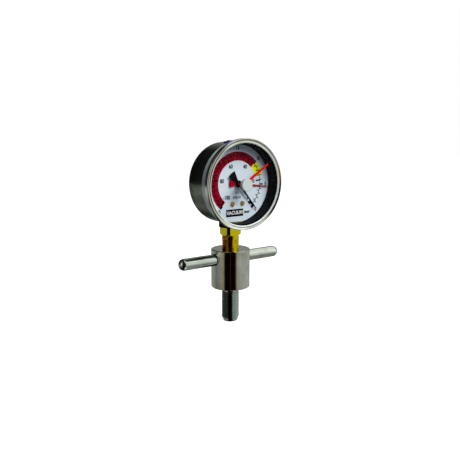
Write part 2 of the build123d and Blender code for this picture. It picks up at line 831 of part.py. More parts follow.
# Curved flat-sided tube. It starts at the block's left side and ends free at the right.
with BuildPart() as bourdon_tube:
    # the half section stands at the free end and turns round to the block
    tip_direction = polar(1, tube_tip_angle)
    section = Plane(
        origin=(0, 0, gauge_centre),
        x_dir=(tip_direction[0], 0, tip_direction[1]),
        z_dir=(tip_direction[1], 0, -tip_direction[0]),
    )
    with BuildSketch(section):
        with Locations((tube_radius, tube_forward)):
            RectangleRounded(tube_thickness, tube_width, 1.45)
            RectangleRounded(
                tube_thickness - 2 * tube_wall,
                tube_width - 2 * tube_wall,
                1.05,
                mode=Mode.SUBTRACT,
            )
    revolve(axis=gauge_axis, revolution_arc=tube_end_angle - tube_tip_angle)
    with BuildSketch(front(-12)):
        with Locations((0, block_top)):
            Rectangle(2 * block_half_width + 0.02, 25, align=(Align.CENTER, Align.MAX))
    extrude(amount=14, mode=Mode.SUBTRACT)
finish(bourdon_tube, "bourdon_tube")

# Cap that closes the tube's free end, with the ear and pin for the link.
with BuildPart() as tube_tip_cap:
    with BuildSketch(front(tube_forward - tube_width / 2 - 0.3)):
        with BuildLine():
            inner = tube_radius - tube_thickness / 2 - 0.2
            outer = tube_radius + tube_thickness / 2 + 0.2
            start = tube_tip_angle - 0.3
            end = tube_tip_angle - 6.5
            Line(polar(inner, start), polar(outer, start))
            ThreePointArc(
                polar(outer, start), polar(outer, (start + end) / 2), polar(outer, end)
            )
            Line(polar(outer, end), polar(inner, end))
            ThreePointArc(
                polar(inner, end), polar(inner, (start + end) / 2), polar(inner, start)
            )
        make_face()
    extrude(amount=tube_width + 0.6)
    disc(1.2, tube_forward + tube_width / 2 + 0.2, link_rear - 0.1, tip_pin)
    disc(0.7, link_rear - 0.1, link_front + 0.5, tip_pin)
finish(tube_tip_cap, "tube_tip_cap")

# Flat spiral hairspring around the pinion's arbor, with its outer end at a post.
spring_turns = 4.25
spring_inner = pinion_front_radius + 0.25
spring_pitch = 0.75
spring_strip = 0.16


def spring_point(turn, shift):
    return polar(spring_inner + spring_pitch * turn + shift, 360 * turn)


spring_steps = [i / 12 for i in range(int(spring_turns * 12) + 1)]
with BuildPart() as hairspring:
    with BuildSketch(front(6.1)):
        with BuildLine():
            Spline(*[spring_point(turn, 0) for turn in spring_steps])
            Spline(*[spring_point(turn, spring_strip) for turn in spring_steps])
            Line(spring_point(0, 0), spring_point(0, spring_strip))
            Line(
                spring_point(spring_steps[-1], 0),
                spring_point(spring_steps[-1], spring_strip),
            )
        make_face()
    extrude(amount=0.6)
finish(hairspring, "hairspring")

# ================================================================ hands
# Fixed bush in the dial's centre that carries the maximum hand.
with BuildPart() as hand_bush:
    disc(2.4, dial_back - 0.5, dial_back, hole=1.0)
    disc(bush_radius - press_gap, dial_back, 11.0, hole=1.0)
finish(hand_bush, "hand_bush")

with BuildPart() as drag_washer:
    disc(2.5, dial_front + 0.03, dial_front + 0.5, hole=bush_radius + 0.05)
finish(drag_washer, "drag_washer")


def fan_hand(angle, tip, base_half, tip_half, tail_radius, tail_spread, neck_half, hub):
    """Outline of a hand: a tapering blade, a round hub and a fan-shaped tail."""
    tail_corner = polar(1.2 * tail_radius, 180 - tail_spread)
    with BuildSketch(mode=Mode.PRIVATE) as hand:
        outline(
            (0, neck_half),
            (-hub, neck_half),
            tail_corner,
            (tail_corner[0], -tail_corner[1]),
            (-hub, -neck_half),
            (0, -neck_half),
        )
        Circle(tail_radius, mode=Mode.INTERSECT)
        outline((0, -base_half), (tip, -tip_half), (tip, tip_half), (0, base_half))
        Circle(hub)
    add(hand.sketch.rotate(Axis.Z, angle))


# Maximum hand: loose on the bush, pushed along by the pointer.
max_hand_rear = 10.25
max_hand_front = 10.7
with BuildPart() as max_hand:
    with BuildSketch(front(max_hand_rear)):
        fan_hand(
            angle=max_hand_angle,
            tip=max_hand_tip,
            base_half=1.1,
            tip_half=0.25,
            tail_radius=8.4,
            tail_spread=22,
            neck_half=1.5,
            hub=2.6,
        )
        Circle(bush_radius + running_gap, mode=Mode.SUBTRACT)
    extrude(amount=max_hand_front - max_hand_rear)
finish(max_hand, "max_hand")

# Pointer: black blade and fan tail, with a small tab beside the maximum hand's plane.
pointer_rear = 11.3
pointer_front = 11.75
pointer_hub_radius = 2.7
pointer_hub_front = pointer_front + 0.4
pointer_bush_radius = 1.5
with BuildPart() as pointer:
    with BuildSketch(front(pointer_rear)):
        fan_hand(
            angle=zero_angle,
            tip=pointer_tip,
            base_half=1.1,
            tip_half=0.25,
            tail_radius=10.9,
            tail_spread=17.5,
            neck_half=1.1,
            hub=pointer_hub_radius,
        )
    extrude(amount=pointer_front - pointer_rear)
    disc(pointer_hub_radius, pointer_front, pointer_hub_front)
    disc(pointer_bush_radius, pointer_rear, pointer_hub_front, mode=Mode.SUBTRACT)
    with BuildSketch(front(max_hand_front + 0.15)):
        with Locations(Location((*polar(7.0, zero_angle), 0), (0, 0, zero_angle))):
            Rectangle(1.2, 0.6)
    extrude(amount=pointer_rear - max_hand_front - 0.15)
finish(pointer, "pointer")

# Brass bush riveted in the pointer and pressed on the arbor.
with BuildPart() as pointer_bush:
    bush_front = pointer_hub_front + 0.35
    disc(pointer_bush_radius - press_gap, 11.15, bush_front, hole=0.8 + press_gap)
finish(pointer_bush, "pointer_bush")

# Set hand inside the window, turned by the knob outside it.
set_hand_front = window_rear - 0.3
set_hand_rear = set_hand_front - 0.45
with BuildPart() as set_hand:
    with BuildSketch(front(set_hand_rear)):
        Circle(set_hand_hub_radius)
        with Locations(Location((0, 0, 0), (0, 0, set_hand_angle))):
            outline((0, -1.15), (set_hand_tip, -0.75), (set_hand_tip, 0.75), (0, 1.15))
        Circle(spindle_radius + press_gap, mode=Mode.SUBTRACT)
    extrude(amount=set_hand_front - set_hand_rear)
    blade_tip = front(set_hand_rear).from_local_coords((*polar(set_hand_tip, set_hand_angle), 0))
    fillet(set_hand.edges().filter_by(Axis.Y).sort_by_distance(blade_tip)[:2], 0.6)
finish(set_hand, "set_hand")

washer_radius = 3.4
with BuildPart() as friction_washer:
    disc(washer_radius, set_hand_front + 0.03, window_rear - 0.03, hole=spindle_radius + 0.05)
finish(friction_washer, "friction_washer")

# Knob with its spindle, fluted round the edge.
knob_rear = window_front + 0.1
knob_flutes = 32
flute_radius = 0.27
spindle_rear = set_hand_rear - 1.0
with BuildPart() as set_knob:
    disc(knob_diameter / 2, knob_rear, knob_front)
    face = set_knob.faces().sort_by(Axis.Y)[0]
    fillet(face.edges(), 0.35)
    with BuildSketch(front(knob_rear)):
        with PolarLocations(knob_diameter / 2 + 0.12, knob_flutes):
            Circle(flute_radius)
    extrude(amount=knob_front - knob_rear, mode=Mode.SUBTRACT)
    disc(spindle_radius, spindle_rear, knob_rear)
finish(set_knob, "set_knob")

# Retaining ring on the inner end of the spindle.
clip_radius = 2.3
clip_rear = set_hand_rear - 0.7
with BuildPart() as spindle_clip:
    disc(clip_radius, clip_rear, set_hand_rear - 0.03, hole=spindle_radius + press_gap)
    with BuildSketch(front(clip_rear)):
        with Locations((2, 0)):
            Rectangle(4, 1.1)
    extrude(amount=0.7, mode=Mode.SUBTRACT)
finish(spindle_clip, "spindle_clip")

for place, point in (("sector pivot", sector_pivot), ("tip pivot", tip_pivot), ("tip pin", tip_pin)):
    print(place, round(point[0], 4), round(point[1] + gauge_centre, 4))
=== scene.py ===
import json
import math

import bmesh
import bpy
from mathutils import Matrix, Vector


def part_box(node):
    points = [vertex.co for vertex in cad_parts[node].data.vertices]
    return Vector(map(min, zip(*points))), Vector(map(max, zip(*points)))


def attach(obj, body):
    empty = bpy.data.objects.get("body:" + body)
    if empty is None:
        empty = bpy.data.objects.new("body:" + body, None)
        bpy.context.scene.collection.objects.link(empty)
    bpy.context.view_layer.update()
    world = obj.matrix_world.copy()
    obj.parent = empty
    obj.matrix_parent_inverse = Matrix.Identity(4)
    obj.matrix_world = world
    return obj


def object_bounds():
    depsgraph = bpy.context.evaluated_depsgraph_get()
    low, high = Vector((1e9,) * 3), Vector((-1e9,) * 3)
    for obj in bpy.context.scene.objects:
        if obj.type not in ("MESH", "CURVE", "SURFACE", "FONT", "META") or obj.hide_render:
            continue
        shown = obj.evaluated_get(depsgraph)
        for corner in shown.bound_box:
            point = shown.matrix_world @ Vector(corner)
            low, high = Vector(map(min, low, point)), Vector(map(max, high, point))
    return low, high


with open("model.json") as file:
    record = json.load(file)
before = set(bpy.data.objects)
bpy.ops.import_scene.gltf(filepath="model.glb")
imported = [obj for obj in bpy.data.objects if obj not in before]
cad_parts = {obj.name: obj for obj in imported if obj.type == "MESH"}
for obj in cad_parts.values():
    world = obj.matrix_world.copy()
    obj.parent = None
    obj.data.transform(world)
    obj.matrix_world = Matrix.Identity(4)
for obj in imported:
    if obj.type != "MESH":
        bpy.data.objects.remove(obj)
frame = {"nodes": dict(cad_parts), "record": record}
cad_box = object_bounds()
nodes = frame["nodes"]
scene = bpy.context.scene

# ------------------------------------------------------------------ places, from the frame
MM = 0.001
window_low, window_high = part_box("window")
dial_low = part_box("dial")[0]
rod_low, rod_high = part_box("right_handle_rod")
model_low = Vector(cad_box[0])

gauge_centre = (window_low.z + window_high.z) / 2
dial_face = -dial_low.y
rod_height = (rod_low.z + rod_high.z) / 2
# the camera's right, level with the floor: the stem and the stud get painted shade on their side
# away from it
unshaded_side = (0.82, -0.57)


def front_point(across, up, forward):
    """A point in the row frame from its place in the gauge's front view, in metres."""
    return Vector((across, -forward, gauge_centre + up))


def on_dial(radius, angle):
    """A point of the front view at a radius in mm and an angle from +X."""
    turn = math.radians(angle)
    return (radius * MM * math.cos(turn), radius * MM * math.sin(turn))


# ------------------------------------------------------------------ node helpers
class Graph:
    """A node tree, with short calls for the nodes that the materials and the room use."""

    def __init__(self, tree):
        self.tree = tree

    def add(self, kind, **inputs):
        node = self.tree.nodes.new(kind)
        for key, value in inputs.items():
            self.put(node.inputs[key.replace("_", " ")], value)
        return node

    def put(self, socket, value):
        if isinstance(value, bpy.types.NodeSocket):
            self.tree.links.new(value, socket)
        else:
            socket.default_value = value

    def maths(self, operation, first, second=0.0):
        node = self.tree.nodes.new("ShaderNodeMath")
        node.operation = operation
        self.put(node.inputs[0], first)
        self.put(node.inputs[1], second)
        return node.outputs[0]

    def along(self, x, y, direction):
        """How far a point or direction reaches along a level direction."""
        first = self.maths("MULTIPLY", x, direction[0])
        return self.maths("ADD", first, self.maths("MULTIPLY", y, direction[1]))

    def split(self, vector):
        node = self.add("ShaderNodeSeparateXYZ", Vector=vector)
        return node.outputs[0], node.outputs[1], node.outputs[2]

    def join(self, x=0.0, y=0.0, z=0.0):
        return self.add("ShaderNodeCombineXYZ", X=x, Y=y, Z=z).outputs[0]

    def spread(self, value, low, high, to_low=0.0, to_high=1.0, smooth=False):
        """A value carried from one range to another, and held at that range's ends."""
        node = self.tree.nodes.new("ShaderNodeMapRange")
        node.interpolation_type = "SMOOTHSTEP" if smooth else "LINEAR"
        self.put(node.inputs["Value"], value)
        for key, number in (
            ("From Min", low),
            ("From Max", high),
            ("To Min", to_low),
            ("To Max", to_high),
        ):
            self.put(node.inputs[key], number)
        return node.outputs["Result"]

    def blend(self, factor, first, second):
        node = self.tree.nodes.new("ShaderNodeMix")
        node.data_type = "RGBA"
        self.put(node.inputs["Factor"], factor)
        self.put(node.inputs["A"], first)
        self.put(node.inputs["B"], second)
        return node.outputs["Result"]


class Paint(Graph):
    """A new material's node tree, with calls for its shader and for patterns on the piece."""

    def __init__(self, name):
        self.material = bpy.data.materials.new(name)
        self.material.use_nodes = True
        super().__init__(self.material.node_tree)
        self.shader = self.tree.nodes["Principled BSDF"]

    def set(self, name, value):
        self.put(self.shader.inputs[name], value)

    def place(self):
        """The point in the row frame at rest, in metres."""
        return self.tree.nodes.new("ShaderNodeTexCoord").outputs["Object"]

    def noise(self, vector, scale, detail=3.0, roughness=0.55):
        node = self.add(
            "ShaderNodeTexNoise", Vector=vector, Scale=scale, Detail=detail, Roughness=roughness
        )
        return node.outputs["Fac"]

    def waver(self, noise, amount):
        """A noise as a change up or down of at most an amount."""
        return self.spread(noise, 0.3, 0.7, -amount, amount)

    def bump(self, height, depth, strength):
        """The shading normal of a relief: its depth in mm, and how much of it shows."""
        node = self.add("ShaderNodeBump", Height=height, Distance=depth * MM, Strength=strength)
        return node.outputs["Normal"]

    def toward_clean_side(self):
        """How far a point lies from the stem's axis toward the camera's right, in metres; painted
        shade lies on the other side.
        """
        x, y, z = self.split(self.place())
        return self.along(x, y, unshaded_side)

    def round_place(self, axis):
        """(distance from the turning axis, distance along it) for a turned piece, in metres."""
        x, y, z = self.split(self.place())
        if axis == "stem":
            first, second, along = x, y, z
        elif axis == "gauge":
            first, second, along = x, self.maths("SUBTRACT", z, gauge_centre), y
        else:
            first, second, along = y, self.maths("SUBTRACT", z, rod_height), x
        squares = self.maths("ADD", self.maths("POWER", first, 2), self.maths("POWER", second, 2))
        return self.maths("SQRT", squares), along


def rgb(red, green, blue):
    return (red, green, blue, 1.0)


# ------------------------------------------------------------------ metals
def with_grime(g, colour, stains, along, thread_shade):
    """A turned metal's colour with painted shade over its thread: dark on the camera's left, and
    a plain colour on its right.
    """
    low, high, dark, unshaded_colour = thread_shade
    thread_edge = 0.3 * MM
    shade_start, shade_end, shade_drift = -1.5 * MM, 2.5 * MM, 1.0 * MM
    edge = g.maths("ADD", g.toward_clean_side(), g.waver(stains, shade_drift))
    painted_side_shade = g.blend(g.spread(edge, shade_start, shade_end), rgb(*dark), rgb(*unshaded_colour))
    above = g.spread(along, low, low + thread_edge)
    below = g.spread(along, high - thread_edge, high, 1.0, 0.0)
    return g.blend(g.maths("MULTIPLY", above, below), colour, painted_side_shade)


def turned_metal(
    name, bright, dull, axis, roughness=0.2, lines=9000.0, smudge=0.08, thread_shade=None, satin=None
):
    """A lathe-turned metal: fine rings round its axis, soft stains and uneven gloss. The thread
    shade is two heights of a thread and the colours of its painted-shade side and its plain side.
    The lip highlight is a radius and a colour, for an inner edge painted pale as a painted
    highlight."""
    g = Paint(name)
    radius, along = g.round_place(axis)
    rings = g.join(radius, 0.0, along)
    fine = g.noise(rings, scale=lines, detail=2.0)
    stains = g.noise(g.place(), scale=90.0, detail=5.0, roughness=0.6)
    specks = g.noise(g.place(), scale=900.0, detail=3.0, roughness=0.6)
    colour = g.blend(g.spread(stains, 0.35, 0.7), rgb(*dull), rgb(*bright))
    # painted shade: the thread is darkened on its side toward the camera's left
    if thread_shade:
        colour = with_grime(g, colour, stains, along, thread_shade)
    g.set("Metallic", 1.0)
    # painted highlight: the lip's inner edge is pale and less metallic, so it shows as a bright
    # line
    if satin:
        edge, highlight_colour = satin
        edge_width = 0.15 * MM
        highlight_metallic = 0.35
        painted_highlight = g.spread(radius, edge, edge + edge_width, 1.0, 0.0)
        colour = g.blend(painted_highlight, colour, rgb(*highlight_colour))
        g.set("Metallic", g.spread(painted_highlight, 0.0, 1.0, 1.0, highlight_metallic))
    g.set("Base Color", colour)
    gloss = g.maths("ADD", g.waver(stains, smudge), roughness)
    gloss = g.maths("ADD", gloss, g.waver(specks, 0.02))
    gloss = g.maths("ADD", gloss, g.waver(fine, 0.03))
    g.set("Roughness", g.maths("MAXIMUM", gloss, 0.05))
    g.set("Normal", g.bump(fine, depth=0.0025, strength=0.5))
    return g.material


def pressed_metal(name, bright, dull, band, band_start, roughness):
    """Sheet metal drawn over a form: a dark tarnished body with streaks along the draw, cloudy
    reflections and small marks, and a lighter burnished band at the case's mouth."""
    g = Paint(name)
    x, y, z = g.split(g.place())
    up = g.maths("SUBTRACT", z, gauge_centre)
    bearing = g.maths("ARCTAN2", up, x)
    radius, along = g.round_place("gauge")
    streak_stretch = 0.03
    turn = g.maths("MULTIPLY", bearing, streak_stretch)
    streaks = g.noise(g.join(turn, along, radius), scale=700.0, detail=4.0)
    clouds = g.noise(g.place(), scale=55.0, detail=4.0, roughness=0.6)
    marks = g.noise(g.place(), scale=1500.0, detail=2.0, roughness=0.5)
    tone = g.maths("ADD", g.spread(clouds, 0.35, 0.68), g.waver(streaks, 0.3))
    body = g.blend(g.maths("MAXIMUM", tone, 0.0), rgb(*dull), rgb(*bright))
    band_edge = 0.5 * MM
    band_metallic = 0.3
    in_band = g.spread(along, -band_start, -band_start - band_edge)
    g.set("Base Color", g.blend(in_band, body, rgb(*band)))
    g.set("Metallic", g.spread(in_band, 0.0, 1.0, 1.0, band_metallic))
    gloss = g.maths("ADD", g.waver(streaks, 0.07), roughness)
    gloss = g.maths("ADD", gloss, g.spread(marks, 0.35, 0.7, 0.0, 0.02))
    g.set("Roughness", g.maths("MAXIMUM", gloss, 0.1))
    rings = g.noise(g.join(radius, 0.0, along), scale=2500.0, detail=2.0)
    g.set("Normal", g.bump(rings, depth=0.006, strength=0.25))
    return g.material


def cut_brass(name, bright, dull, roughness=0.22, side_shade=None):
    """Machined brass or bronze with darker tarnish in patches and fine tool marks. A side shade
    is a
    height and a colour: below it, the side toward the camera's left gets that colour as painted
    shade."""
    g = Paint(name)
    radius, along = g.round_place("stem")
    tool = g.noise(g.join(radius, 0.0, along), scale=7000.0, detail=2.0)
    patches = g.noise(g.place(), scale=160.0, detail=5.0, roughness=0.65)
    colour = g.blend(g.spread(patches, 0.35, 0.65), rgb(*dull), rgb(*bright))
    # painted shade: below a height, the stem turns red-brown on its side toward the camera's left
    if side_shade:
        top, dark = side_shade
        side_shade_full, side_shade_end, side_shade_drift = -2.6 * MM, -1.0 * MM, 0.6 * MM
        side_shade_fade = 2.0 * MM
        edge = g.maths("ADD", g.toward_clean_side(), g.waver(patches, side_shade_drift))
        on_side = g.spread(edge, side_shade_full, side_shade_end, 1.0, 0.0)
        under = g.spread(along, top - side_shade_fade, top, 1.0, 0.0)
        colour = g.blend(g.maths("MULTIPLY", on_side, under), colour, rgb(*dark))
    g.set("Base Color", colour)
    g.set("Metallic", 1.0)
    g.set("Roughness", g.maths("ADD", g.waver(patches, -0.03), roughness))
    g.set("Normal", g.bump(tool, depth=0.003, strength=0.4))
    return g.material


# ------------------------------------------------------------------ other materials
def moulded_rubber(name, colour, roughness=0.55):
    """Matt rubber with a fine moulded grain and a little bloom."""
    g = Paint(name)
    bloom = g.noise(g.place(), scale=220.0, detail=4.0, roughness=0.6)
    grain = g.noise(g.place(), scale=4200.0, detail=3.0, roughness=0.6)
    dust_gain, dust_lift = 1.5, 0.0015
    dusty = [min(1.0, part * dust_gain + dust_lift) for part in colour]
    g.set("Base Color", g.blend(g.spread(bloom, 0.45, 0.75), rgb(*colour), rgb(*dusty)))
    g.set("Roughness", g.spread(grain, 0.3, 0.7, roughness - 0.08, roughness + 0.1))
    g.set("Specular IOR Level", 0.03)
    g.set("Normal", g.bump(grain, depth=0.03, strength=0.35))
    return g.material


def painted(name, colour, roughness, tint=0.06, shine=0.5):
    """Sprayed or printed paint: slight orange peel, and a tone that is darker in clouds."""
    g = Paint(name)
    cloud = g.noise(g.place(), scale=300.0, detail=4.0, roughness=0.55)
    peel = g.noise(g.place(), scale=3000.0, detail=2.0, roughness=0.5)
    darker = [part * (1 - tint) for part in colour]
    g.set("Base Color", g.blend(g.spread(cloud, 0.35, 0.65), rgb(*darker), rgb(*colour)))
    g.set("Roughness", g.spread(cloud, 0.3, 0.7, roughness - 0.05, roughness + 0.05))
    g.set("Specular IOR Level", shine)
    g.set("Normal", g.bump(peel, depth=0.01, strength=0.3))
    return g.material


def frosted_plastic(name, colour):
    """The knob: off-white plastic with a frosted, lightly speckled surface."""
    g = Paint(name)
    frost = g.noise(g.place(), scale=2600.0, detail=3.0, roughness=0.65)
    cloud = g.noise(g.place(), scale=500.0, detail=3.0, roughness=0.6)
    speckle = 0.86
    shade = [part * speckle for part in colour]
    g.set("Base Color", g.blend(g.spread(frost, 0.4, 0.65), rgb(*shade), rgb(*colour)))
    g.set("Roughness", g.spread(cloud, 0.3, 0.7, 0.4, 0.6))
    g.set("Subsurface Weight", 0.15)
    g.set("Subsurface Radius", (2.0 * MM, 2.0 * MM, 2.0 * MM))
    g.set("Normal", g.bump(frost, depth=0.04, strength=0.5))
    return g.material


def clear_window(name):
    """A clear window that light and sight pass through, with only a faint sheen."""
    g = Paint(name)
    wipe = g.noise(g.place(), scale=120.0, detail=4.0, roughness=0.6)
    smear = g.spread(wipe, 0.4, 0.7)
    g.set("Base Color", g.blend(smear, rgb(0.02, 0.02, 0.02), rgb(0.06, 0.062, 0.06)))
    g.set("Roughness", g.spread(wipe, 0.3, 0.7, 0.02, 0.06))
    g.set("IOR", 1.49)
    g.set("Alpha", 0.03)
    g.material.surface_render_method = "BLENDED"
    return g.material


# ------------------------------------------------------------------ the nodes' materials
# places of the stud's thread with painted shade, the bezel's lip with a painted highlight, the
# case's band and the stem's painted side shade
thread_low, thread_high = -26.5 * MM, -3.5 * MM
lip_radius = 32.4 * MM
case_band_start = 9.2 * MM
side_shade_top = 44.0 * MM
# the hub's stud: painted shade on its thread's side toward the camera's left
stainless_hub = turned_metal(
    "stainless_hub",
    (0.66, 0.68, 0.62),
    (0.46, 0.46, 0.4),
    "stem",
    roughness=0.1,
    smudge=0.04,
    thread_shade=(thread_low, thread_high, (0.17, 0.2, 0.18), (0.62, 0.72, 0.66)),
)
stainless_rod = turned_metal(
    "stainless_rod",
    (0.74, 0.79, 0.74),
    (0.52, 0.56, 0.5),
    "rod",
    roughness=0.1,
    lines=5000.0,
    smudge=0.04,
)
# the bezel: a painted highlight on its lip's inner edge
stainless_bezel = turned_metal(
    "stainless_bezel",
    (0.86, 0.88, 0.82),
    (0.68, 0.7, 0.62),
    "gauge",
    roughness=0.085,
    smudge=0.03,
    satin=(lip_radius, (0.9, 0.95, 0.9)),
)
stainless_case = pressed_metal(
    "stainless_case",
    (0.3, 0.32, 0.26),
    (0.06, 0.09, 0.07),
    band=(0.62, 0.68, 0.66),
    band_start=case_band_start,
    roughness=0.17,
)
# the stem: painted red-brown shade on its side toward the camera's left, below a height
stem_brass = cut_brass(
    "stem_brass",
    (0.95, 0.82, 0.012),
    (0.86, 0.66, 0.01),
    roughness=0.06,
    side_shade=(side_shade_top, (0.5, 0.2, 0.02)),
)
aged_brass = cut_brass("aged_brass", (0.06, 0.035, 0.015), (0.02, 0.012, 0.008), 0.45)
movement_brass = cut_brass("movement_brass", (0.72, 0.55, 0.2), (0.5, 0.36, 0.12), 0.3)
screw_brass = cut_brass("screw_brass", (0.6, 0.4, 0.12), (0.32, 0.2, 0.06), 0.25)
tube_bronze = cut_brass("tube_bronze", (0.55, 0.35, 0.16), (0.35, 0.22, 0.1), 0.3)
small_steel = turned_metal(
    "small_steel", (0.56, 0.56, 0.55), (0.4, 0.4, 0.39), "gauge", roughness=0.25
)
blued_steel = turned_metal(
    "blued_steel", (0.07, 0.065, 0.06), (0.03, 0.03, 0.03), "gauge", roughness=0.35
)
black_rubber = moulded_rubber("black_rubber", (0.002, 0.002, 0.003))
blue_rubber = moulded_rubber("blue_rubber", (0.03, 0.025, 0.32), 0.45)
dial_enamel = painted("dial_enamel", (0.7, 0.8, 0.86), 0.5, tint=0.05, shine=0.05)
pointer_black = painted("pointer_black", (0.0015, 0.0015, 0.0015), 0.6, shine=0.02)
max_hand_red = painted("max_hand_red", (0.36, 0.001, 0.012), 0.45, shine=0.05)
set_hand_red = painted("set_hand_red", (0.66, 0.003, 0.003), 0.4, shine=0.05)
knob_white = frosted_plastic("knob_white", (0.62, 0.68, 0.65))
window_clear = clear_window("window_clear")

node_materials = {
    "handle_hub": stainless_hub,
    "left_handle_rod": stainless_rod,
    "right_handle_rod": stainless_rod,
    "bezel_ring": stainless_bezel,
    "case": stainless_case,
    "socket": stem_brass,
    "window": window_clear,
    "window_gasket": black_rubber,
    "base_seal": black_rubber,
    "seat_seal": black_rubber,
    "fill_plug": blue_rubber,
    "dial": dial_enamel,
    "pointer": pointer_black,
    "pointer_bush": aged_brass,
    "hand_bush": aged_brass,
    "max_hand": max_hand_red,
    "set_hand": set_hand_red,
    "set_knob": knob_white,
    "bourdon_tube": tube_bronze,
    "tube_tip_cap": tube_bronze,
    "hairspring": tube_bronze,
}
slot_materials = {
    "brass_stem": stem_brass,
    "brass_movement": movement_brass,
    "brass_screw": screw_brass,
    "steel_screw": small_steel,
    "steel_arbor": blued_steel,
}
slot_of = {part["node"]: part["material_slot"] for part in frame["record"]["subparts"]}
for node_name, node in nodes.items():
    material = node_materials.get(node_name) or slot_materials[slot_of[node_name]]
    for material_slot in node.material_slots:
        material_slot.material = material

# ------------------------------------------------------------------ printing on the dial
ink_black = painted("ink_black", (0.002, 0.002, 0.003), 0.6, tint=0.3, shine=0.02)
ink_maroon = painted("ink_maroon", (0.38, 0.0003, 0.02), 0.55, tint=0.6, shine=0.0)
ink_yellow = painted("ink_yellow", (0.88, 0.95, 0.01), 0.5, tint=0.08, shine=0.05)
ink_white = painted("ink_white", (0.9, 0.9, 0.92), 0.5, shine=0.2)

# Angles are in degrees from +X in the front view, and sizes of the printing in mm. The bands and
# boxes are on the lower layer of ink, and the lines and lettering are on the upper one.
zero_angle = -50.0
sweep = 280.0
full_scale = 30.0
red_start, yellow_start = 10.0, 7.0
kpa_per_inch = 3.38639
band_inner, band_outer = 18.2, 25.2
scale_radius = 22.3
ink_layer = 0.02 * MM
lower_layer, upper_layer = 0, 1
line_half = 0.25
minor_tick, major_tick, block_tick = 0.75, 1.2, 1.8
minor_length = 2.0
block_angle = zero_angle - 3.0
block_gap_outside, block_gap_inside = 0.6, 1.4
arc_step = 2.0
outer_figure_radius, inner_figure_radius, inner_zero_radius = 28.0, 14.9, 15.6
outer_figure, inner_figure, inner_zero = 2.9, 3.0, 2.0


def inch_angle(inches):
    """The dial angle of a vacuum in inches of mercury."""
    return zero_angle + sweep * inches / full_scale


def kpa_angle(kpa):
    return inch_angle(kpa / kpa_per_inch)


def mesh_piece(name, build, material, body):
    """A new piece from a function that fills a bmesh, riding on a body."""
    bm = bmesh.new()
    build(bm)
    bmesh.ops.remove_doubles(bm, verts=bm.verts, dist=1e-8)
    bmesh.ops.recalc_face_normals(bm, faces=bm.faces)
    mesh = bpy.data.meshes.new(name)
    bm.to_mesh(mesh)
    bm.free()
    mesh.materials.append(material)
    piece = bpy.data.objects.new(name, mesh)
    scene.collection.objects.link(piece)
    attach(piece, body)
    return piece


def add_plate(bm, outline, layer):
    """A thin flat prism on the dial: an outline in the front view, on a layer of ink."""
    rear = dial_face + layer * ink_layer
    forward = rear + ink_layer
    backs = [bm.verts.new(front_point(x, up, rear)) for x, up in outline]
    fronts = [bm.verts.new(front_point(x, up, forward)) for x, up in outline]
    bm.faces.new(list(reversed(backs)))
    bm.faces.new(fronts)
    count = len(outline)
    for i in range(count):
        j = (i + 1) % count
        bm.faces.new((backs[i], backs[j], fronts[j], fronts[i]))


def add_box(bm, left, right, low, high, layer):
    """A printed rectangle, from its sides in mm in the front view."""
    corners = ((left, low), (right, low), (right, high), (left, high))
    add_plate(bm, [(x * MM, up * MM) for x, up in corners], layer)


def add_arc(bm, inner, outer, start, end, layer):
    """A printed arc between two radii: one closed strip of short straight lengths."""
    count = max(1, round(abs(end - start) / arc_step))
    rings = []
    rear = dial_face + layer * ink_layer
    forward = rear + ink_layer
    for i in range(count + 1):
        angle = start + (end - start) * i / count
        ring = []
        for radius, depth in (
            (inner, rear),
            (outer, rear),
            (outer, forward),
            (inner, forward),
        ):
            ring.append(bm.verts.new(front_point(*on_dial(radius, angle), depth)))
        rings.append(ring)
    for first, second in zip(rings, rings[1:]):
        for i in range(4):
            j = (i + 1) % 4
            bm.faces.new((first[i], first[j], second[j], second[i]))
    bm.faces.new(list(reversed(rings[0])))
    bm.faces.new(rings[-1])


def add_tick(bm, angle, inner, outer, width):
    """A printed tick along a radius."""
    turn = math.radians(angle)
    side = Vector((-math.sin(turn), math.cos(turn))) * width * MM / 2
    low = Vector(on_dial(inner, angle))
    high = Vector(on_dial(outer, angle))
    add_plate(bm, [low - side, high - side, high + side, low + side], upper_layer)


def add_text(bm, words, height, across, up, squeeze=0.85, weight=0.16):
    """Plain lettering, from the capitals' height, the middle's place and the added weight in
    mm, and the width as a share of the font's own."""
    font_share = 0.7
    curve = bpy.data.curves.new("lettering", "FONT")
    curve.body = words
    curve.size = height * MM / font_share
    curve.align_x = "CENTER"
    curve.align_y = "CENTER"
    curve.extrude = ink_layer / 2
    curve.resolution_u = 6
    curve.offset = weight * MM
    words_object = bpy.data.objects.new("lettering", curve)
    scene.collection.objects.link(words_object)
    words_object.rotation_euler = (math.radians(90), 0, 0)
    words_object.scale = (squeeze, 1, 1)
    layer_middle = dial_face + (upper_layer + 0.5) * ink_layer
    words_object.location = front_point(across * MM, up * MM, layer_middle)
    bpy.context.view_layer.update()
    evaluated = words_object.evaluated_get(bpy.context.evaluated_depsgraph_get())
    mesh = bpy.data.meshes.new_from_object(evaluated)
    mesh.transform(words_object.matrix_world)
    bm.from_mesh(mesh)
    bpy.data.objects.remove(words_object)
    bpy.data.curves.remove(curve)
    bpy.data.meshes.remove(mesh)


def build_red_band(bm):
    start, end = inch_angle(red_start), inch_angle(full_scale)
    add_arc(bm, band_inner, band_outer, start, end, lower_layer)


def build_yellow_band(bm):
    start, end = inch_angle(yellow_start), inch_angle(red_start)
    add_arc(bm, band_inner, band_outer, start, end, lower_layer)


